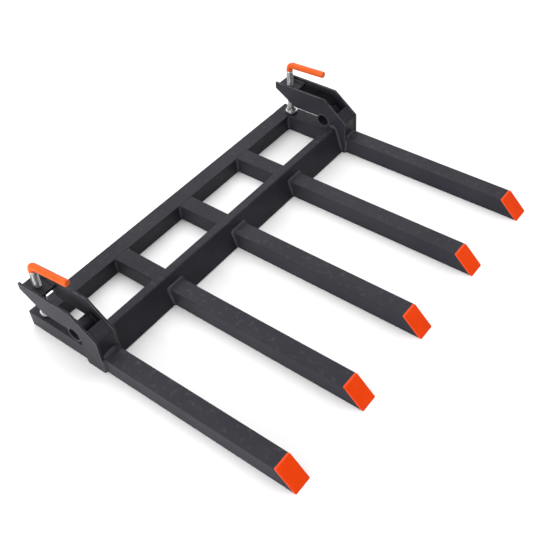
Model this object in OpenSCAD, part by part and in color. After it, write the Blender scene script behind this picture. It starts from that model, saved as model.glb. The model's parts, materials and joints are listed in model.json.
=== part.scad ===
// Clamp-on pallet and debris fork for a loader bucket.
// Five square tines run forward (-Y) from a cross rail, and a C-shaped screw clamp at each end grips
// the bucket's cutting edge. The part stands on its tines: Z = 0 is the floor under them.
// X runs along the rails, the tine tips point to -Y, and the origin is the middle of the footprint.

/* [Tines] */
// Distance between neighbouring tines, centre to centre
tine_pitch = 254; // [230:1:280]
// Tip of a tine, ahead of the front rail's bottom edge
tine_reach = 568.5; // [400:0.5:760]
// Outside width of the square tube
tube_size = 50; // [46:1:54]
// Wall of the square tube
tube_wall = 5; // [3:0.5:6]
// Outside corner round of the square tube
tube_round = 2; // [1:0.5:8]
// Thickness of the plate that closes a tine's bevelled tip
tip_plate = 4; // [2:0.5:6]

/* [Frame] */
// Distance from the front rail's bottom edge to the back of the frame
frame_depth = 256.5; // [246:0.5:300]
// Height of the front rail
rail_height = 80; // [72:1:86]
// Depth of the front rail at its foot
rail_depth = 50; // [46:1:54]
// How far the front rail's front face leans back over its height
rail_lean = 24; // [0:1:28]
// Wall of the front rail
rail_wall = 6; // [4:0.5:8]
// Plate that closes the back end of each jaw tube
end_plate = 4; // [3:0.5:8]

/* [Clamp cheeks] */
// Plate thickness of the cheeks
cheek_thick = 6; // [5:0.5:10]
// Top of the clamp arm above the floor
arm_top = 163; // [157:1:175]
// Underside of the clamp arm above the floor
arm_low = 98; // [94:1:106]
// End of the clamp arm behind the front rail's bottom edge
arm_end = 245; // [238:1:252]
// Underside of the clamp arm at its end
arm_end_low = 142; // [134:1:148]
// Start of the arm's sloping nose behind the front rail's bottom edge
nose_start = 65; // [55:1:75]
// Height of the corner where the nose turns straight down
nose_low = 105; // [98:1:112]
// How far the cheeks stand ahead of the front rail's bottom edge
cheek_front = 9; // [6:1:14]
// Thickness of the bent front plate between the cheeks
front_thick = 6; // [4:0.5:8]
// Outside diameter of the pipe across the throat's end
pipe_od = 42.2; // [38:0.1:44]
// Wall of the pipe across the throat's end
pipe_wall = 3.6; // [2.6:0.1:5]

/* [Clamp screw] */
// Screw axis behind the front rail's bottom edge
screw_back = 212; // [206:1:216]
// Outside diameter of the screw
screw_d = 20; // [18:1:22]
// Running clearance between a turning part and its hole, on the radius
run_gap = 0.05; // [0.02:0.01:0.1]
// Thickness of the bridge plate that joins the arm's cheeks
bridge_thick = 8; // [6:1:12]
// Width across the flats of the screw nut
nut_flats = 30; // [28:1:36]
// Height of the screw nut
nut_height = 12; // [10:1:16]
// Diameter of the swivel pad
pad_d = 37; // [32:1:44]
// Gap between the swivel pad and the lower jaw
pad_gap = 3; // [2.5:0.5:6]

/* [Handle] */
// Diameter of the handle rod
rod_d = 16; // [12:1:17]
// Outside diameter of the grip sleeve
grip_d = 19; // [18:0.5:26]
// Height of the handle's axis above the floor
handle_z = 217; // [212:1:240]
// Reach of the handle from the screw axis to the closed end of the grip
handle_reach = 121; // [90:1:150]
// Turn of the handle away from straight ahead
handle_turn = 4; // [-20:1:20]

/* [Hidden] */

$fn = 64;
CHARCOAL = "#2b2b30";
ORANGE = "#e04a1a";
ZINC = "#b9bbbe";
eps = 0.01;
// Larger than the whole part, for the solids that cut it
far = 1200;
// Flats in a rounded corner
corner_flats = 6;

tine_count = 5;
middle_tine = 3;
// Y of the front rail's bottom edge, which puts the origin at the middle of the footprint
rail_y = (tine_reach - frame_depth) / 2;
half_tube = tube_size / 2;
// Centre of each clamp and of the outer tine ahead of it
clamp_x = 2 * tine_pitch;
clamp_half = half_tube + cheek_thick;

// Seat of the pipe in the cheeks
pipe_r = pipe_od / 2;
pipe_y = rail_depth + pipe_r - 0.1;
pipe_z = arm_low - 9;

// Inside of the bent front plate, which the jaw tube butts against
plate_front = cheek_front - 2;
plate_back = plate_front - front_thick;
plate_slope_length = 37.5;

// Start of the slope under the arm's end
arm_slope_start = arm_end - 70;

bridge_front = screw_back - 36;
bridge_hole_gap = 1;

// Heights along the screw, from the jaw upwards
screw_r = screw_d / 2;
pad_z = tube_size + pad_gap;
pad_plate = 6;
socket_floor = pad_z + 3;
socket_top = pad_z + 16;
socket_r = 13.5;
spigot_r = 8;
groove_r = 6.5;
end_gap = 0.3;
ring_r = 10.5;
ring_z = socket_top - 3;
ring_thick = 2;
ring_gap = 0.2;
screw_top = handle_z - 19;

// Handle bend and grip
rod_r = rod_d / 2;
bend_r = 14;
grip_z = screw_top + 0.5;
grip_end = 3;

function unit(v) = v / norm(v);

// Points of a round of radius r in place of the corner b between a and c
function corner(a, b, c, r) =
    let (u = unit(a - b),
        v = unit(c - b),
        half = acos(u * v) / 2,
        centre = b + unit(u + v) * r / sin(half),
        first = b + u * r / tan(half) - centre,
        last = b + v * r / tan(half) - centre,
        start = atan2(first.y, first.x),
        sweep = (atan2(last.y, last.x) - start + 540) % 360 - 180)
    r == 0 ? [b] : [for (i = [0:corner_flats])
        centre + r * [cos(start + sweep * i / corner_flats), sin(start + sweep * i / corner_flats)]];

// Closed outline with a round of its own radius at each point
function outline(points, radii) =
    let (n = len(points))
    [for (i = [0:n - 1]) each corner(points[(i + n - 1) % n], points[i], points[(i + 1) % n], radii[i])];

// Square outline of the tube, or of its bore when inset by the wall
function tube_points(inset) =
    let (h = half_tube - inset,
        r = max(tube_round - inset, 1))
    outline([[-h, inset], [h, inset], [h, tube_size - inset], [-h, tube_size - inset]], [r, r, r, r]);

function tine_x(i) = (i - middle_tine) * tine_pitch;

// Extrudes a YZ outline along X, with Y counted from the front rail's bottom edge
module across(x0, x1) {
    translate([x0, rail_y, 0])
        rotate([90, 0, 90])
            linear_extrude(x1 - x0)
                children();
}

// Extrudes an XZ outline along Y, with Y counted from the front rail's bottom edge
module lengthwise(y0, y1) {
    translate([0, rail_y + y1, 0])
        rotate([90, 0, 0])
            linear_extrude(y1 - y0)
                children();
}

module tube_lengthwise(x, y0, y1) {
    translate([x, 0, 0])
        difference() {
            lengthwise(y0, y1) polygon(tube_points(0));
            lengthwise(y0 - eps, y1 + eps) polygon(tube_points(tube_wall));
        }
}

module on_side(side) {
    translate([side * clamp_x, 0, 0]) children();
}

// Box-section rail whose front face leans back
module front_rail() {
    length_half = clamp_x - clamp_half;
    lean = rail_lean / rail_height;
    front = rail_wall * sqrt(1 + lean * lean);
    high = rail_height - rail_wall;
    back = rail_depth - rail_wall;
    color(CHARCOAL)
        difference() {
            across(-length_half, length_half)
                polygon(outline([[0, 0], [rail_depth, 0], [rail_depth, rail_height], [rail_lean, rail_height]],
                    [3, 3, 4, 6]));
            across(-length_half - eps, length_half + eps)
                polygon([[front + lean * rail_wall, rail_wall], [back, rail_wall], [back, high],
                    [front + lean * high, high]]);
        }
}

module rear_rail() {
    length = 2 * (clamp_x - half_tube);
    color(CHARCOAL)
        translate([-length / 2, rail_y + frame_depth - half_tube, 0])
            rotate([90, 0, 90])
                difference() {
                    linear_extrude(length) polygon(tube_points(0));
                    translate([0, 0, -eps])
                        linear_extrude(length + 2 * eps) polygon(tube_points(tube_wall));
                }
}

module tie(x) {
    color(CHARCOAL) tube_lengthwise(x, rail_depth, frame_depth - tube_size);
}

// Lower jaw of a clamp, which closes the frame between the front plate and the back
module jaw_tube() {
    color(CHARCOAL) tube_lengthwise(0, -plate_back, frame_depth - end_plate);
}

module jaw_end() {
    color(CHARCOAL) lengthwise(frame_depth - end_plate, frame_depth) polygon(tube_points(0));
}

// Everything on one side of the tip's bevel plane, which climbs back at 45 degrees, set back by a depth
module ahead_of_bevel(depth) {
    translate([0, rail_y - tine_reach + depth * sqrt(2), 0])
        rotate([45, 0, 0])
            translate([-far, -2 * far, 0])
                cube([2 * far, 4 * far, far]);
}

module behind_bevel(depth) {
    translate([0, rail_y - tine_reach + depth * sqrt(2), 0])
        rotate([45, 0, 0])
            translate([-far, -2 * far, -far])
                cube([2 * far, 4 * far, far]);
}

// Everything behind the plane of the front rail's leaning face
module behind_rail_face() {
    across(-far, far)
        polygon([[-rail_lean, -rail_height], [rail_lean, rail_height], [rail_depth, rail_height],
            [rail_depth, -rail_height]]);
}

// A middle tine meets the leaning face of the front rail, and an outer one meets the front plate
module tine(i) {
    outer = i == 1 || i == tine_count;
    color(CHARCOAL)
        difference() {
            tube_lengthwise(tine_x(i), -tine_reach, outer ? -plate_front : rail_lean);
            ahead_of_bevel(tip_plate);
            if (!outer)
                behind_rail_face();
        }
}

module tine_tip(i) {
    color(ORANGE)
        difference() {
            translate([tine_x(i), 0, 0])
                lengthwise(-tine_reach, 2 * tube_size - tine_reach) polygon(tube_points(0));
            ahead_of_bevel(0);
            behind_bevel(tip_plate);
        }
}

// C-shaped plate: foot, sloping nose and arm, open at the back for the bucket's cutting edge
module cheek(x0) {
    color(CHARCOAL)
        difference() {
            across(x0, x0 + cheek_thick)
                polygon(outline(
                    [[-cheek_front, 0], [-cheek_front, nose_low], [nose_start, arm_top], [arm_end, arm_top],
                        [arm_end, arm_end_low], [arm_slope_start, arm_low], [pipe_y, arm_low],
                        [pipe_y, pipe_z], [rail_depth, pipe_z], [rail_depth, 0]],
                    [3, 8, 10, 2, 2, 42, 0, 0, 0, 6]));
            translate([x0 - 1, rail_y + pipe_y, pipe_z])
                rotate([0, 90, 0])
                    cylinder(r = pipe_r, h = cheek_thick + 2);
        }
}

// Plate between the cheeks ahead of the jaw tube, bent back along the nose's slope
module front_plate() {
    slope = unit([nose_start + cheek_front, arm_top - nose_low]);
    into = front_thick * [slope.y, -slope.x];
    bend = [-plate_front, nose_low - 1];
    top = bend + plate_slope_length * slope;
    inner_bend = [-plate_back, top.y + into.y - (top.x + into.x + plate_back) * slope.y / slope.x];
    color(CHARCOAL)
        across(-half_tube, half_tube)
            polygon(outline([[bend.x, 0], bend, top, top + into, inner_bend, [-plate_back, 0]],
                [1, 8, 1, 1, 3, 1]));
}

// Pipe seated in both cheeks at the throat's end, which the bucket's edge comes up against
module throat_pipe() {
    color(CHARCOAL)
        translate([-clamp_half, rail_y + pipe_y, pipe_z])
            rotate([0, 90, 0])
                difference() {
                    cylinder(r = pipe_r, h = 2 * clamp_half);
                    translate([0, 0, -1])
                        cylinder(r = pipe_r - pipe_wall, h = 2 * clamp_half + 2);
                }
}

module at_screw() {
    translate([0, rail_y + screw_back, 0])
        rotate([0, 0, handle_turn])
            children();
}

// Plate between the arm's cheeks, flush with their ends, with a clear hole for the screw
module bridge_plate() {
    color(CHARCOAL)
        difference() {
            translate([-half_tube, rail_y + bridge_front, arm_end_low])
                cube([tube_size, arm_end - bridge_front, bridge_thick]);
            at_screw()
                translate([0, 0, arm_end_low - 1])
                    cylinder(r = screw_r + bridge_hole_gap, h = bridge_thick + 2);
        }
}

// Nut welded under the bridge plate
module screw_nut() {
    color(CHARCOAL)
        at_screw()
            translate([0, 0, arm_end_low - nut_height])
                difference() {
                    cylinder(r = nut_flats / sqrt(3), h = nut_height, $fn = 6);
                    translate([0, 0, -1])
                        cylinder(r = screw_r + run_gap, h = nut_height + 2);
                }
}

module screw_nuts() {
    for (side = [-1, 1])
        on_side(side) screw_nut();
}

// Screw with a grooved spigot at its foot for the swivel pad
module clamp_screw() {
    spigot_z = socket_floor + end_gap;
    color(ZINC)
        at_screw()
            difference() {
                union() {
                    translate([0, 0, spigot_z])
                        cylinder(r = spigot_r, h = socket_top - spigot_z + 1);
                    translate([0, 0, socket_top + end_gap])
                        cylinder(r = screw_r, h = screw_top - socket_top - end_gap);
                }
                translate([0, 0, ring_z - ring_gap])
                    difference() {
                        cylinder(r = spigot_r + 1, h = ring_thick + 2 * ring_gap);
                        translate([0, 0, -1])
                            cylinder(r = groove_r, h = ring_thick + 3);
                    }
            }
}

// Bar of radius r from a height up the screw axis, round the bend and out to a reach
module bent_bar(r, z0, reach) {
    translate([0, 0, z0])
        cylinder(r = r, h = handle_z - bend_r - z0 + eps);
    translate([0, -bend_r, handle_z - bend_r])
        rotate([90, 0, 90])
            rotate_extrude(angle = 90)
                translate([bend_r, 0])
                    circle(r = r);
    translate([0, -bend_r + eps, handle_z])
        rotate([90, 0, 0])
            cylinder(r = r, h = reach - bend_r + eps);
}

module handle_rod() {
    color(ZINC)
        at_screw() bent_bar(rod_r, screw_top, handle_reach - grip_end);
}

// Sleeve over the rod, closed at its end
module grip() {
    color(ORANGE)
        at_screw()
            difference() {
                bent_bar(grip_d / 2, grip_z, handle_reach);
                bent_bar(rod_r, grip_z - 1, handle_reach - grip_end);
            }
}

// Round foot of the screw, which stays still while the screw turns in it
module swivel_pad() {
    color(ZINC)
        translate([0, rail_y + screw_back, 0])
            difference() {
                union() {
                    translate([0, 0, pad_z])
                        cylinder(d = pad_d, h = pad_plate);
                    translate([0, 0, pad_z])
                        cylinder(r = socket_r, h = socket_top - pad_z);
                }
                translate([0, 0, socket_floor])
                    cylinder(r = spigot_r + run_gap, h = socket_top);
                translate([0, 0, ring_z])
                    cylinder(r = ring_r, h = socket_top);
            }
}

// Ring in the pad's socket that holds the pad on the screw's spigot
module pad_ring() {
    color(ZINC)
        translate([0, rail_y + screw_back, ring_z])
            difference() {
                cylinder(r = ring_r, h = ring_thick);
                translate([0, 0, -1])
                    cylinder(r = groove_r + run_gap, h = ring_thick + 2);
            }
}

front_rail();
rear_rail();
tie(-tine_pitch);  // tie_left
tie(0);  // tie_centre
tie(tine_pitch);  // tie_right
on_side(-1) jaw_tube();  // jaw_tube_left
on_side(1) jaw_tube();  // jaw_tube_right
on_side(-1) jaw_end();  // jaw_end_left
on_side(1) jaw_end();  // jaw_end_right
tine(1);  // tine_1
tine(2);  // tine_2
tine(3);  // tine_3
tine(4);  // tine_4
tine(5);  // tine_5
tine_tip(1);  // tine_tip_1
tine_tip(2);  // tine_tip_2
tine_tip(3);  // tine_tip_3
tine_tip(4);  // tine_tip_4
tine_tip(5);  // tine_tip_5
on_side(-1) cheek(-clamp_half);  // outer_cheek_left
on_side(-1) cheek(half_tube);  // inner_cheek_left
on_side(-1) front_plate();  // front_plate_left
on_side(-1) throat_pipe();  // throat_pipe_left
on_side(-1) bridge_plate();  // bridge_plate_left
on_side(1) cheek(half_tube);  // outer_cheek_right
on_side(1) cheek(-clamp_half);  // inner_cheek_right
on_side(1) front_plate();  // front_plate_right
on_side(1) throat_pipe();  // throat_pipe_right
on_side(1) bridge_plate();  // bridge_plate_right
screw_nuts();
on_side(-1) clamp_screw();  // clamp_screw_left
on_side(-1) handle_rod();  // handle_rod_left
on_side(-1) grip();  // grip_left
on_side(-1) swivel_pad();  // swivel_pad_left
on_side(-1) pad_ring();  // pad_ring_left
on_side(1) clamp_screw();  // clamp_screw_right
on_side(1) handle_rod();  // handle_rod_right
on_side(1) grip();  // grip_right
on_side(1) swivel_pad();  // swivel_pad_right
on_side(1) pad_ring();  // pad_ring_right
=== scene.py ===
"""Clamp-on pallet fork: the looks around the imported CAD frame, in metres."""

import json
import math

import bmesh
import bpy
from mathutils import Euler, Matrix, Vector, noise


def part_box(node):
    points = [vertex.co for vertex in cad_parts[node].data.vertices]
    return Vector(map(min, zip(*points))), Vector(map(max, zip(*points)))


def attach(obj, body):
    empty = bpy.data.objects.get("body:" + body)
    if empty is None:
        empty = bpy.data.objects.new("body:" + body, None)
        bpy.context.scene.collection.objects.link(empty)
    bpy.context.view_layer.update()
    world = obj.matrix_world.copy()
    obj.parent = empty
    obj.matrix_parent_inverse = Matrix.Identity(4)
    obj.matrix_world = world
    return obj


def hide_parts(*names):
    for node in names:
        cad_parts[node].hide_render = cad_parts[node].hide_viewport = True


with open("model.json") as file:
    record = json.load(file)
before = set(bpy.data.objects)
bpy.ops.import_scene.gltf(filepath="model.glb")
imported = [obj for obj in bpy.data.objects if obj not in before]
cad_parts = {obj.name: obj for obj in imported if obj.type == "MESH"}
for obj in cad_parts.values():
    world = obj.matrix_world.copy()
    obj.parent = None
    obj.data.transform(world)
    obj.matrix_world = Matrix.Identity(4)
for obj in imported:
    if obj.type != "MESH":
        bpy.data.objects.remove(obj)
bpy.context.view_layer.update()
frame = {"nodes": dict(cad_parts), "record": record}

MM = 0.001
NODES = frame["nodes"]
SIDES = {"left": -1, "right": 1}
UP = (0, 0, 1)
DOWN = (0, 0, -1)
FORWARD = (0, -1, 0)
BACKWARD = (0, 1, 0)


# ---------------------------------------------------------------- places read from the frame

def low(node):
    """The least corner of a node's box."""
    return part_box(node)[0]


def high(node):
    """The greatest corner of a node's box."""
    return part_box(node)[1]


TUBE = high("tie_centre").z
HALF_TUBE = TUBE / 2
RAIL_FRONT = low("front_rail").y
RAIL_BACK = high("front_rail").y
RAIL_TOP = high("front_rail").z
RAIL_END = high("front_rail").x
REAR_FRONT = low("rear_rail").y
CLAMP_X = (low("jaw_tube_right").x + high("jaw_tube_right").x) / 2
SCREW_Y = (low("swivel_pad_right").y + high("swivel_pad_right").y) / 2

# Sizes of the CAD that its boxes don't show: the tubes' corner radius and how far the front rail's
# face leans back from its foot to its top.
TUBE_ROUND = 2 * MM
RAIL_LEAN = 24 * MM
RAIL_SLOPE = RAIL_LEAN / RAIL_TOP


# ---------------------------------------------------------------- materials

def socket(value):
    """A colour as the four numbers that a socket holds, and any other value unchanged."""
    return (*value, 1.0) if isinstance(value, tuple) and len(value) == 3 else value


class Nodes:
    """A new material and short ways to add nodes to it."""

    def __init__(self, name):
        self.material = bpy.data.materials.new(name)
        self.material.use_nodes = True
        self.tree = self.material.node_tree
        self.shader = self.tree.nodes["Principled BSDF"]
        self.place = self.add("ShaderNodeTexCoord").outputs["Object"]

    def add(self, kind, **values):
        """A new node, with values for its own settings or for its inputs."""
        node = self.tree.nodes.new(kind)
        for key, value in values.items():
            if hasattr(node, key):
                setattr(node, key, value)
            else:
                node.inputs[key.replace("_", " ")].default_value = socket(value)
        return node

    def link(self, start, end):
        self.tree.links.new(start, end)

    def stretched(self, scale):
        """Object coordinates with a scale for each axis."""
        mapping = self.add("ShaderNodeMapping")
        mapping.inputs["Scale"].default_value = scale
        self.link(self.place, mapping.inputs["Vector"])
        return mapping.outputs["Vector"]

    def noise(self, scale, detail=2.0, roughness=0.5, at=None):
        node = self.add("ShaderNodeTexNoise", Scale=scale, Detail=detail, Roughness=roughness)
        self.link(at or self.place, node.inputs["Vector"])
        return node.outputs["Fac"]

    def ramp(self, value, start, end):
        """0 below start, 1 above end, and smooth between them."""
        node = self.add("ShaderNodeMapRange", interpolation_type="SMOOTHSTEP")
        node.inputs["From Min"].default_value = start
        node.inputs["From Max"].default_value = end
        self.link(value, node.inputs["Value"])
        return node.outputs["Result"]

    def spread(self, value, start, end):
        """A value from 0 to 1 spread over start to end."""
        node = self.add("ShaderNodeMapRange")
        node.inputs["To Min"].default_value = start
        node.inputs["To Max"].default_value = end
        self.link(value, node.inputs["Value"])
        return node.outputs["Result"]

    def maths(self, operation, a, b):
        node = self.add("ShaderNodeMath", operation=operation)
        for pin, value in zip(node.inputs, (a, b)):
            if isinstance(value, (int, float)):
                pin.default_value = value
            else:
                self.link(value, pin)
        return node.outputs["Value"]

    def attribute(self, name):
        return self.add("ShaderNodeAttribute", attribute_name=name).outputs["Fac"]

    def mix(self, share, a, b):
        """Colour a where the share is 0 and colour b where it is 1."""
        node = self.add("ShaderNodeMix", data_type="RGBA")
        self.link(share, node.inputs["Factor"])
        for pin, value in ((node.inputs[6], a), (node.inputs[7], b)):
            if isinstance(value, tuple):
                pin.default_value = socket(value)
            else:
                self.link(value, pin)
        return node.outputs[2]

    def bump(self, height, distance, strength, under=None):
        node = self.add("ShaderNodeBump", Distance=distance, Strength=strength)
        self.link(height, node.inputs["Height"])
        if under is not None:
            self.link(under, node.inputs["Normal"])
        return node.outputs["Normal"]

    def set(self, **values):
        """Sets or links inputs of the material's shader."""
        for key, value in values.items():
            pin = self.shader.inputs[key.replace("_", " ")]
            if isinstance(value, (int, float, tuple)):
                pin.default_value = socket(value)
            else:
                self.link(value, pin)


def facing_up(n):
    """1 on faces that look up, 0 on the others."""
    normal = n.add("ShaderNodeSeparateXYZ")
    n.link(n.add("ShaderNodeNewGeometry").outputs["Normal"], normal.inputs["Vector"])
    return n.ramp(normal.outputs["Z"], 0.55, 0.98)


PAINT_SHINE = 0.10
DUST = (0.32, 0.31, 0.30)


def painted(name, base, shade, worn_and_highlight, rough_mean, wear_and_highlight=1.0):
    """Powder coat with orange peel, soft stains, a little dust on top, and lighter edges that are partly
    rubbed wear and partly a painted highlight.
    """
    n = Nodes(name)
    cloud = n.ramp(n.noise(7.0, 4.0, 0.6), 0.34, 0.68)
    colour = n.mix(cloud, shade, base)
    dust = n.ramp(n.noise(60.0, 5.0, 0.7), 0.52, 0.75)
    dust = n.maths("MULTIPLY", n.maths("MULTIPLY", dust, facing_up(n)), 0.10)
    colour = n.mix(dust, colour, DUST)
    # Eased edges, broken up by noise, move towards the third colour: partly rubbed wear, partly a painted
    # highlight along the edges.
    rubbed_and_highlit = n.ramp(n.noise(42.0, 5.0, 0.65), 0.34, 0.56)
    edge = n.maths("MULTIPLY", n.maths("MULTIPLY", n.attribute("edge"), rubbed_and_highlit), wear_and_highlight)
    colour = n.mix(edge, colour, worn_and_highlight)
    scuffs = n.noise(55.0, 3.0, 0.7, n.stretched((0.12, 1.0, 1.0)))
    scuffs = n.maths("MULTIPLY", n.ramp(scuffs, 0.70, 0.80), 0.10 * wear_and_highlight)
    colour = n.mix(scuffs, colour, worn_and_highlight)
    rough = n.spread(n.noise(28.0, 4.0, 0.6), rough_mean - 0.07, rough_mean + 0.09)
    rough = n.maths("SUBTRACT", rough, n.maths("MULTIPLY", edge, 0.10))
    peel = n.bump(n.noise(520.0, 2.0, 0.5), 0.05 * MM, 0.55)
    peel = n.bump(n.noise(1900.0, 1.0, 0.5), 0.02 * MM, 0.35, under=peel)
    n.set(Base_Color=colour, Roughness=rough, Normal=peel, Specular_IOR_Level=PAINT_SHINE)
    return n.material


def zinc_plate():
    """Bright zinc with a faint blue cast, fine turning lines and darker thread grooves."""
    n = Nodes("zinc_plate")
    cloud = n.ramp(n.noise(90.0, 4.0, 0.6), 0.35, 0.70)
    colour = n.mix(cloud, (0.36, 0.365, 0.375), (0.52, 0.525, 0.535))
    # Darker towards the bottom of the thread grooves.
    groove = n.maths("MULTIPLY", n.attribute("groove"), 0.80)
    colour = n.mix(groove, colour, (0.16, 0.155, 0.15))
    spots = n.ramp(n.noise(340.0, 3.0, 0.7), 0.62, 0.72)
    colour = n.mix(n.maths("MULTIPLY", spots, 0.35), colour, (0.42, 0.40, 0.37))
    rough = n.spread(n.noise(160.0, 3.0, 0.6), 0.22, 0.44)
    lines = n.noise(700.0, 2.0, 0.5, n.stretched((1.0, 1.0, 6.0)))
    n.set(Base_Color=colour, Metallic=0.92, Roughness=rough, Normal=n.bump(lines, 0.02 * MM, 0.5))
    return n.material


def grip_vinyl():
    """Dipped orange vinyl: soft sheen, faint ripple from the dip and grime in patches."""
    n = Nodes("grip_vinyl")
    cloud = n.ramp(n.noise(45.0, 3.0, 0.6), 0.30, 0.72)
    colour = n.mix(cloud, (0.60, 0.078, 0.003), (0.70, 0.102, 0.005))
    grime = n.ramp(n.noise(130.0, 5.0, 0.7), 0.60, 0.76)
    colour = n.mix(n.maths("MULTIPLY", grime, 0.30), colour, (0.20, 0.045, 0.02))
    rough = n.spread(n.noise(80.0, 4.0, 0.6), 0.30, 0.46)
    ripple = n.bump(n.noise(110.0, 2.0, 0.5), 0.18 * MM, 0.5)
    ripple = n.bump(n.noise(900.0, 2.0, 0.5), 0.03 * MM, 0.4, under=ripple)
    n.set(Base_Color=colour, Roughness=rough, Normal=ripple, Specular_IOR_Level=0.25)
    return n.material


def floor_paper():
    """Matt white paper, very slightly uneven."""
    n = Nodes("floor_paper")
    colour = n.mix(n.noise(3.0, 3.0), (0.93, 0.93, 0.93), (0.95, 0.95, 0.95))
    n.set(Base_Color=colour, Roughness=0.9, Specular_IOR_Level=0.1)
    return n.material


# Each paint's third colour goes on its eased edges and scuffs. On the charcoal it is lighter, partly wear
# and partly a painted highlight along the edges.
CHARCOAL = painted("charcoal_paint", (0.027, 0.0262, 0.0335), (0.021, 0.0204, 0.0270),
                   (0.12, 0.118, 0.125), 0.42)
# The weld paint is the charcoal made about twice as light: a painted highlight on the beads.
HIGHLIT_WELD_PAINT = painted("highlit_weld_paint", (0.060, 0.059, 0.066), (0.036, 0.035, 0.041),
                     (0.11, 0.11, 0.115), 0.36, wear_and_highlight=0.6)
TIP_PAINT = painted("tip_paint", (0.95, 0.064, 0.002), (0.86, 0.054, 0.002),
                    (0.25, 0.05, 0.03), 0.40, wear_and_highlight=0.7)
ZINC = zinc_plate()
GRIP = grip_vinyl()


# ---------------------------------------------------------------- mesh helpers

def new_piece(name, bm, material, body, sharp=35.0):
    """A piece from a bmesh, shaded smooth with sharp edges above an angle, riding on a body."""
    bmesh.ops.recalc_face_normals(bm, faces=bm.faces)
    mesh = bpy.data.meshes.new(name)
    bm.to_mesh(mesh)
    bm.free()
    mesh.shade_smooth()
    mesh.set_sharp_from_angle(angle=math.radians(sharp))
    piece = bpy.data.objects.new(name, mesh)
    bpy.context.scene.collection.objects.link(piece)
    piece.data.materials.append(material)
    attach(piece, body)
    return piece


def set_weights(bm, name, values):
    """Writes a number for each vertex, in order, as an attribute that the materials read."""
    layer = bm.verts.layers.float.new(name)
    for vert, value in zip(bm.verts, values):
        vert[layer] = value


LEAST_SHARP = math.radians(28.0)
FLAT_ENOUGH = math.radians(0.3)
WELDED_WITHIN = 0.01 * MM


def eased(node, width, material, body="frame"):
    """A copy of a CAD node with every sharp edge eased by a width, standing for that node."""
    bm = bmesh.new()
    bm.from_mesh(NODES[node].data)
    layer = bm.faces.layers.float.new("edge")
    bmesh.ops.remove_doubles(bm, verts=bm.verts, dist=WELDED_WITHIN)
    bmesh.ops.dissolve_limit(bm, angle_limit=FLAT_ENOUGH, verts=bm.verts, edges=bm.edges)
    sharp = [e for e in bm.edges if len(e.link_faces) == 2 and e.calc_face_angle() > LEAST_SHARP]
    made = bmesh.ops.bevel(bm, geom=sharp, offset=width, segments=2, profile=0.5,
                           affect="EDGES", clamp_overlap=True)
    # The eased faces are marked 'edge'. The paints lighten them, partly as wear and partly as a painted
    # highlight.
    for face in made["faces"]:
        face[layer] = 1.0
    piece = new_piece(node + "_skin", bm, material, body)
    weighted = piece.modifiers.new("normals", "WEIGHTED_NORMAL")
    weighted.keep_sharp = True
    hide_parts(node)


def ring_loft(bm, rings):
    """Joins rings of points into a skin that is closed at both ends."""
    made = [[bm.verts.new(p) for p in ring] for ring in rings]
    count = len(rings[0])
    for a, b in zip(made, made[1:]):
        for i in range(count):
            j = (i + 1) % count
            bm.faces.new((a[i], a[j], b[j], b[i]))
    bm.faces.new(list(reversed(made[0])))
    bm.faces.new(made[-1])


# ---------------------------------------------------------------- weld beads

BEAD_STEP = 1.3 * MM
BEAD_SPAN = 7
BEAD_WOBBLE = 0.10
WOBBLES_PER_METRE = 90
BEAD_SWELL = 0.16
BEAD_SUNK = 0.25 * MM
RIPPLE = 3.2 * MM
RIPPLE_HEIGHT = 0.055
CORNER_STEPS = 6

# The width of each kind of bead on either face.
RAIL_LEG = 6 * MM
TIE_LEG = 5.5 * MM
OUTER_TINE_LEG = 9 * MM
BRIDGE_LEG = 4.5 * MM
PIPE_LEG = 4 * MM
CHEEK_LEG = 5 * MM
PLATE_LEG = 2.2 * MM
NUT_LEG = 3 * MM

# Where beads start above the floor, where the front rail's face turns over to its top, and the
# nut's and the pipe's beads, with angles in degrees.
WELD_START = 4 * MM
CHEEK_WELD_START = 5 * MM
RAIL_BROW = 73 * MM
NUT_RADIUS = 17.3 * MM
NUT_TURN = 4
PIPE_WELD_FROM = 96
PIPE_WELD_TO = 180
PIPE_STEPS = 12


def along(stations):
    """Stations (place, way up one face, way up the other) spaced evenly along their path."""
    places = [Vector(s[0]) for s in stations]
    lengths = [0.0]
    for a, b in zip(places, places[1:]):
        lengths.append(lengths[-1] + (b - a).length)
    steps = max(3, round(lengths[-1] / BEAD_STEP))
    found = []
    leg = 0
    for k in range(steps + 1):
        travel = lengths[-1] * k / steps
        while leg < len(lengths) - 2 and travel > lengths[leg + 1]:
            leg += 1
        t = (travel - lengths[leg]) / max(lengths[leg + 1] - lengths[leg], 1e-9)
        rows = [Vector(p).lerp(Vector(q), t) for p, q in zip(stations[leg], stations[leg + 1])]
        found.append((travel, rows[0], rows[1].normalized(), rows[2].normalized()))
    return found, lengths[-1]


def bead_ring(travel, total, place, up_a, up_b, leg, seed):
    """One section of a fillet bead: an arc from one face to the other, with overlapping ripples."""
    wobble = 1 + BEAD_WOBBLE * noise.noise(Vector((travel * WOBBLES_PER_METRE, seed, 0.5)))
    taper = min(1.0, 0.45 + 0.55 * min(travel, total - travel) / (1.2 * leg))
    size = leg * wobble * taper
    inward = -(up_a + up_b).normalized() * BEAD_SUNK
    ring = []
    for i in range(BEAD_SPAN):
        t = i / (BEAD_SPAN - 1)
        crescent = travel + 0.55 * RIPPLE * (2 * t - 1) ** 2
        phase = (crescent / RIPPLE + seed) % 1.0
        ripple = RIPPLE_HEIGHT * (1 - phase) * math.sin(math.pi * t)
        chord = up_a * (1 - t) + up_b * t
        swell = BEAD_SWELL * math.sin(math.pi * t) + ripple
        ring.append(place + chord * size + chord.normalized() * size * swell
                    + inward * (1 if i in (0, BEAD_SPAN - 1) else 0))
    ring.append(place + inward * 4)
    return ring


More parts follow.
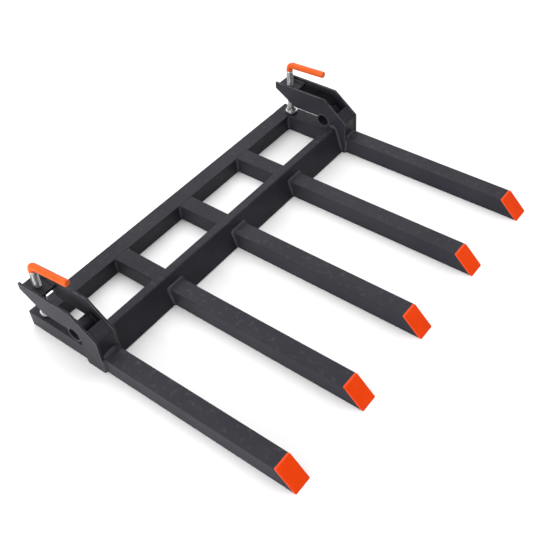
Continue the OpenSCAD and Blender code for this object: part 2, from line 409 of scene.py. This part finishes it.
def bead(name, stations, leg, seed):
    """A fillet weld bead along stations, painted like the frame but lighter, as a painted highlight."""
    spaced, total = along(stations)
    bm = bmesh.new()
    ring_loft(bm, [bead_ring(travel, total, at, a, b, leg, seed) for travel, at, a, b in spaced])
    new_piece(name, bm, HIGHLIT_WELD_PAINT, "frame", sharp=60.0)


def tube_sides(face_y, way, x, faces=("left", "top", "right"), lean=0.0):
    """Stations round a tube that meets a cross face: up one side, over the top and down."""
    flat = HALF_TUBE - TUBE_ROUND
    corner_z = TUBE - TUBE_ROUND
    arcs = []
    for k in range(1, CORNER_STEPS):
        turn = math.radians(180 - 90 * k / CORNER_STEPS)
        arcs.append((-flat + TUBE_ROUND * math.cos(turn), corner_z + TUBE_ROUND * math.sin(turn),
                     math.cos(turn), math.sin(turn)))
    rows = []
    if "left" in faces:
        rows += [(-HALF_TUBE, TUBE_ROUND, -1, 0), (-HALF_TUBE, corner_z, -1, 0)]
    if "top" in faces:
        if "left" in faces:
            rows += arcs
        rows += [(-flat, TUBE, 0, 1), (flat, TUBE, 0, 1)]
        if "right" in faces:
            rows += [(-px, pz, -nx, nz) for px, pz, nx, nz in reversed(arcs)]
    if "right" in faces:
        rows += [(HALF_TUBE, corner_z, 1, 0), (HALF_TUBE, TUBE_ROUND, 1, 0)]
    stations = []
    for px, pz, nx, nz in rows:
        up_face = Vector((nx, nz * lean, nz))
        stations.append(((x + px, face_y + lean * pz, pz), up_face, (0, way, 0)))
    return stations


def frame_beads():
    """Beads where the tines, ties and rails meet."""
    pitch = CLAMP_X / 2
    for i in (-1, 0, 1):
        x = i * pitch
        bead(f"bead_tine_{i + 3}", tube_sides(RAIL_FRONT, -1, x, lean=RAIL_SLOPE), RAIL_LEG, 0.3 * i)
        bead(f"bead_tie_front_{i + 2}", tube_sides(RAIL_BACK, 1, x), TIE_LEG, 0.2 * i)
        bead(f"bead_tie_rear_a_{i + 2}", tube_sides(REAR_FRONT, -1, x, ("left",)), RAIL_LEG, 0.1 * i)
        bead(f"bead_tie_rear_b_{i + 2}", tube_sides(REAR_FRONT, -1, x, ("right",)), RAIL_LEG, 0.4 * i)
    for side, s in SIDES.items():
        front = low("front_plate_" + side).y
        bead(f"bead_tine_{side}", tube_sides(front, -1, s * CLAMP_X, ("top",)), OUTER_TINE_LEG, 0.7)


def even_bead(name, places, up_a, up_b, leg, seed):
    """A bead along places where two faces meet at the same angle all the way."""
    bead(name, [(place, up_a, up_b) for place in places], leg, seed)


def rail_end_beads(side, s):
    """Beads where the rails end against a clamp."""
    cheek = s * RAIL_END
    centre = (-s, 0, 0)
    slope = (0, -1, RAIL_SLOPE)
    stations = [((cheek, RAIL_FRONT + RAIL_SLOPE * z, z), slope, centre) for z in (WELD_START, RAIL_BROW)]
    for y in (RAIL_FRONT + RAIL_LEAN + 5 * MM, RAIL_BACK - 3 * MM):
        stations.append(((cheek, y, RAIL_TOP), UP, centre))
    bead("bead_rail_end_" + side, stations, RAIL_LEG, 0.25)
    corner = s * (CLAMP_X - HALF_TUBE)
    heights = (WELD_START, TUBE - WELD_START)
    even_bead("bead_rear_corner_" + side, [(corner, REAR_FRONT, z) for z in heights],
              FORWARD, centre, RAIL_LEG, 0.6)


def clamp_beads(side, s):
    """Beads round a clamp's pipe, bridge plate, nut, front plate and foot."""
    centre_x = s * CLAMP_X
    bridge_low, bridge_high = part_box("bridge_plate_" + side)
    pipe_low, pipe_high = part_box("throat_pipe_" + side)
    pipe_y = (pipe_low.y + pipe_high.y) / 2
    pipe_z = (pipe_low.z + pipe_high.z) / 2
    pipe_r = (pipe_high.z - pipe_low.z) / 2
    plate_y = low("front_plate_" + side).y
    cheek_front = low("outer_cheek_" + side).y
    for way in (-1, 1):
        face = centre_x + way * HALF_TUBE
        tag = f"{side}_{'b' if way > 0 else 'a'}"
        inward = (-way, 0, 0)
        outward = (way, 0, 0)
        bridge_ends = (bridge_low.y, bridge_high.y - MM)
        even_bead("bead_bridge_" + tag, [(face, y, bridge_high.z) for y in bridge_ends],
                  UP, inward, BRIDGE_LEG, 0.2)
        ring = []
        for k in range(PIPE_STEPS + 1):
            turn = math.radians(PIPE_WELD_FROM + (PIPE_WELD_TO - PIPE_WELD_FROM) * k / PIPE_STEPS)
            out = Vector((0, math.cos(turn), math.sin(turn)))
            ring.append((Vector((face, pipe_y, pipe_z)) + out * pipe_r, out, inward))
        bead("bead_pipe_" + tag, ring, PIPE_LEG, 0.4)
        foot_ends = (CHEEK_WELD_START, TUBE - 6 * MM)
        even_bead("bead_foot_" + tag, [(face, RAIL_BACK, z) for z in foot_ends],
                  BACKWARD, outward, CHEEK_LEG, 0.8)
        plate_ends = (TUBE + 7 * MM, TUBE + 52 * MM)
        even_bead("bead_plate_" + tag, [(face, plate_y, z) for z in plate_ends],
                  FORWARD, inward, PLATE_LEG, 0.5)
        side_ends = (CHEEK_WELD_START, TUBE - CHEEK_WELD_START)
        even_bead("bead_tine_side_" + tag, [(face, cheek_front, z) for z in side_ends],
                  FORWARD, outward, CHEEK_LEG, 0.1)
    hexagon = []
    for k in range(7):
        turn = math.radians(60 * k + NUT_TURN)
        out = Vector((math.cos(turn), math.sin(turn), 0))
        hexagon.append((Vector((centre_x, SCREW_Y, bridge_low.z)) + out * NUT_RADIUS, out, DOWN))
    bead("bead_nut_" + side, hexagon, NUT_LEG, 0.3)


frame_beads()
for side, s in SIDES.items():
    rail_end_beads(side, s)
    clamp_beads(side, s)


# ---------------------------------------------------------------- frame, cheeks and tips

PLATE_EDGE = 0.8 * MM
FINE_EDGE = 0.5 * MM

for node in frame["record"]["behaviour"]["bodies"]["frame"]:
    if node.startswith("tine_tip"):
        eased(node, FINE_EDGE, TIP_PAINT)
    elif "cheek" in node or "plate" in node:
        eased(node, PLATE_EDGE, CHARCOAL)
    else:
        eased(node, FINE_EDGE, CHARCOAL)


# ---------------------------------------------------------------- screws, pads and grips

THREAD_PITCH = 2.5 * MM
THREAD_DEPTH = 1.3 * MM
THREAD_START = 1.2 * MM
FLANK_START = 1.35
FLANK_SLOPE = 3.2
PLAIN_TOP = 6 * MM
SPIGOT_RADIUS = 8 * MM
FOOT_CHAMFER = 0.8 * MM
TOP_CHAMFER = 0.6 * MM
TURN_STEPS = 48
RINGS_PER_PITCH = 8


def screw_thread(side):
    """The clamp screw with a real helix from its foot to its plain top."""
    node = "clamp_screw_" + side
    bottom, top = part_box(node)
    x = SIDES[side] * CLAMP_X
    radius = (top.x - bottom.x) / 2
    shoulder = high("swivel_pad_" + side).z + 0.3 * MM
    start = shoulder + THREAD_START
    plain = top.z - PLAIN_TOP
    profile = [(bottom.z, SPIGOT_RADIUS - FOOT_CHAMFER), (bottom.z + FOOT_CHAMFER, SPIGOT_RADIUS)]
    profile += [(shoulder - 0.1 * MM, SPIGOT_RADIUS), (shoulder, SPIGOT_RADIUS + 0.3 * MM)]
    count = round((plain - start) / THREAD_PITCH * RINGS_PER_PITCH)
    step = (plain - start) / count
    profile += [(start + step * k, None) for k in range(count)]
    profile += [(plain, radius), (top.z - TOP_CHAMFER, radius), (top.z, radius - TOP_CHAMFER)]
    rings = []
    grooves = []
    for z, fixed in profile:
        ring = []
        for k in range(TURN_STEPS):
            turn = 2 * math.pi * k / TURN_STEPS
            deep = 0.0
            if fixed is None:
                phase = (z / THREAD_PITCH - turn / (2 * math.pi)) % 1.0
                fade = min(1.0, (plain - z) / (2 * THREAD_PITCH), (z - shoulder) / THREAD_PITCH)
                deep = min(1.0, max(0.0, FLANK_START - abs(phase - 0.5) * FLANK_SLOPE)) * max(fade, 0.0)
            r = (fixed or radius) - THREAD_DEPTH * deep
            ring.append(Vector((x + r * math.cos(turn), SCREW_Y + r * math.sin(turn), z)))
            grooves.append(deep)
        rings.append(ring)
    bm = bmesh.new()
    ring_loft(bm, rings)
    set_weights(bm, "groove", grooves)
    piece = new_piece(node + "_skin", bm, ZINC, "screw_" + side, sharp=50.0)
    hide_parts(node)


HANDLE_TURN = math.radians(4)
AHEAD = Vector((math.sin(HANDLE_TURN), -math.cos(HANDLE_TURN), 0))
ACROSS = Vector((math.cos(HANDLE_TURN), math.sin(HANDLE_TURN), 0))
GRIP_RADIUS = 9.5 * MM
GRIP_BEND = 14 * MM
GRIP_REACH = 121 * MM
GRIP_DOME = 5 * MM
BEND_STEPS = 12
STRAIGHT_STEPS = 24
DOME_STEPS = 6


def bent_path(side, start_z, axis_z):
    """Points and directions up the screw axis, round the bend and out along the handle."""
    base = Vector((SIDES[side] * CLAMP_X, SCREW_Y, 0))
    up = Vector(UP)
    points = []
    rise = axis_z - GRIP_BEND - start_z
    for k in range(4):
        points.append((base + up * (start_z + rise * k / 4), up))
    centre = base + up * (axis_z - GRIP_BEND) + AHEAD * GRIP_BEND
    for k in range(BEND_STEPS + 1):
        a = math.radians(90 * k / BEND_STEPS)
        points.append((centre - AHEAD * GRIP_BEND * math.cos(a) + up * GRIP_BEND * math.sin(a),
                       up * math.cos(a) + AHEAD * math.sin(a)))
    straight = GRIP_REACH - GRIP_DOME - GRIP_BEND
    for k in range(1, STRAIGHT_STEPS + 1):
        points.append((base + up * axis_z + AHEAD * (GRIP_BEND + straight * k / STRAIGHT_STEPS), AHEAD))
    return points


def swept(points, radii, sides=32):
    """Rings of given radii along the handle's path."""
    rings = []
    for (place, way), r in zip(points, radii):
        other = way.cross(ACROSS)
        rings.append([place + (ACROSS * math.cos(a) + other * math.sin(a)) * r
                      for a in (2 * math.pi * k / sides for k in range(sides))])
    return rings


def grip(side):
    """Dipped sleeve with a rolled lip at its start and a domed end."""
    node = "grip_" + side
    bottom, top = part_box(node)
    points = bent_path(side, bottom.z, top.z - GRIP_RADIUS)
    radii = [GRIP_RADIUS] * len(points)
    place, way = points[-1]
    for k in range(1, DOME_STEPS + 1):
        a = math.radians(90 * k / DOME_STEPS)
        points.append((place + way * GRIP_DOME * math.sin(a), way))
        radii.append(GRIP_RADIUS - GRIP_DOME * (1 - math.cos(a)))
    first, up = points[0]
    lip = [(first, GRIP_RADIUS - 0.9 * MM), (first + up * 0.12 * MM, GRIP_RADIUS - 0.2 * MM),
           (first + up * 0.45 * MM, GRIP_RADIUS)]
    points = [(p, up) for p, _ in lip] + points[1:]
    radii = [r for _, r in lip] + radii[1:]
    bm = bmesh.new()
    ring_loft(bm, swept(points, radii))
    piece = new_piece(node + "_skin", bm, GRIP, "screw_" + side, sharp=50.0)
    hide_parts(node, "handle_rod_" + side)


for side in SIDES:
    screw_thread(side)
    grip(side)
    for node in ("swivel_pad_" + side, "pad_ring_" + side):
        eased(node, FINE_EDGE, ZINC, body="pad_" + side)


# ---------------------------------------------------------------- floor, light and camera

FLOOR_REACH = 12.0
FLOOR_DROP = 0.3 * MM
LIT_PLACE = Vector((0.0, 0.0, 0.05))


def floor():
    """White paper just under the part, reaching far past it."""
    bm = bmesh.new()
    bmesh.ops.create_grid(bm, x_segments=8, y_segments=8, size=FLOOR_REACH)
    mesh = bpy.data.meshes.new("floor")
    bm.to_mesh(mesh)
    bm.free()
    plane = bpy.data.objects.new("floor", mesh)
    plane.location.z = -FLOOR_DROP
    bpy.context.scene.collection.objects.link(plane)
    plane.data.materials.append(floor_paper())


def softbox(name, place, size, power):
    """A white rectangular lamp that faces the part."""
    light = bpy.data.lights.new(name, "AREA")
    light.shape = "RECTANGLE"
    light.size, light.size_y = size
    light.energy = power
    lamp = bpy.data.objects.new(name, light)
    lamp.location = place
    lamp.rotation_euler = (LIT_PLACE - Vector(place)).to_track_quat("-Z", "Y").to_euler()
    bpy.context.scene.collection.objects.link(lamp)


def studio():
    """Even white surroundings, a wide lamp overhead and a narrower one on the left."""
    world = bpy.data.worlds.new("studio")
    world.use_nodes = True
    background = world.node_tree.nodes["Background"]
    background.inputs["Color"].default_value = (1.0, 1.0, 1.0, 1.0)
    background.inputs["Strength"].default_value = 0.30
    bpy.context.scene.world = world
    softbox("overhead", (0.9, 1.2, 3.2), (6.0, 6.0), 235.0)
    softbox("left_key", (-4.4, 0.1, 1.35), (4.0, 1.3), 185.0)


def camera():
    """A raised view from the front left, looking across the tines."""
    data = bpy.data.cameras.new("camera")
    data.sensor_width = 36.0
    data.lens = 53.91
    data.clip_start = 0.05
    data.clip_end = 60.0
    cam = bpy.data.objects.new("camera", data)
    cam.location = (-1.19165, -0.97075, 1.54821)
    cam.rotation_euler = Euler([math.radians(a) for a in (44.0778, 3.2684, -52.6493)])
    bpy.context.scene.collection.objects.link(cam)
    bpy.context.scene.camera = cam


floor()
studio()
camera()
bpy.context.scene.view_settings.view_transform = "Standard"
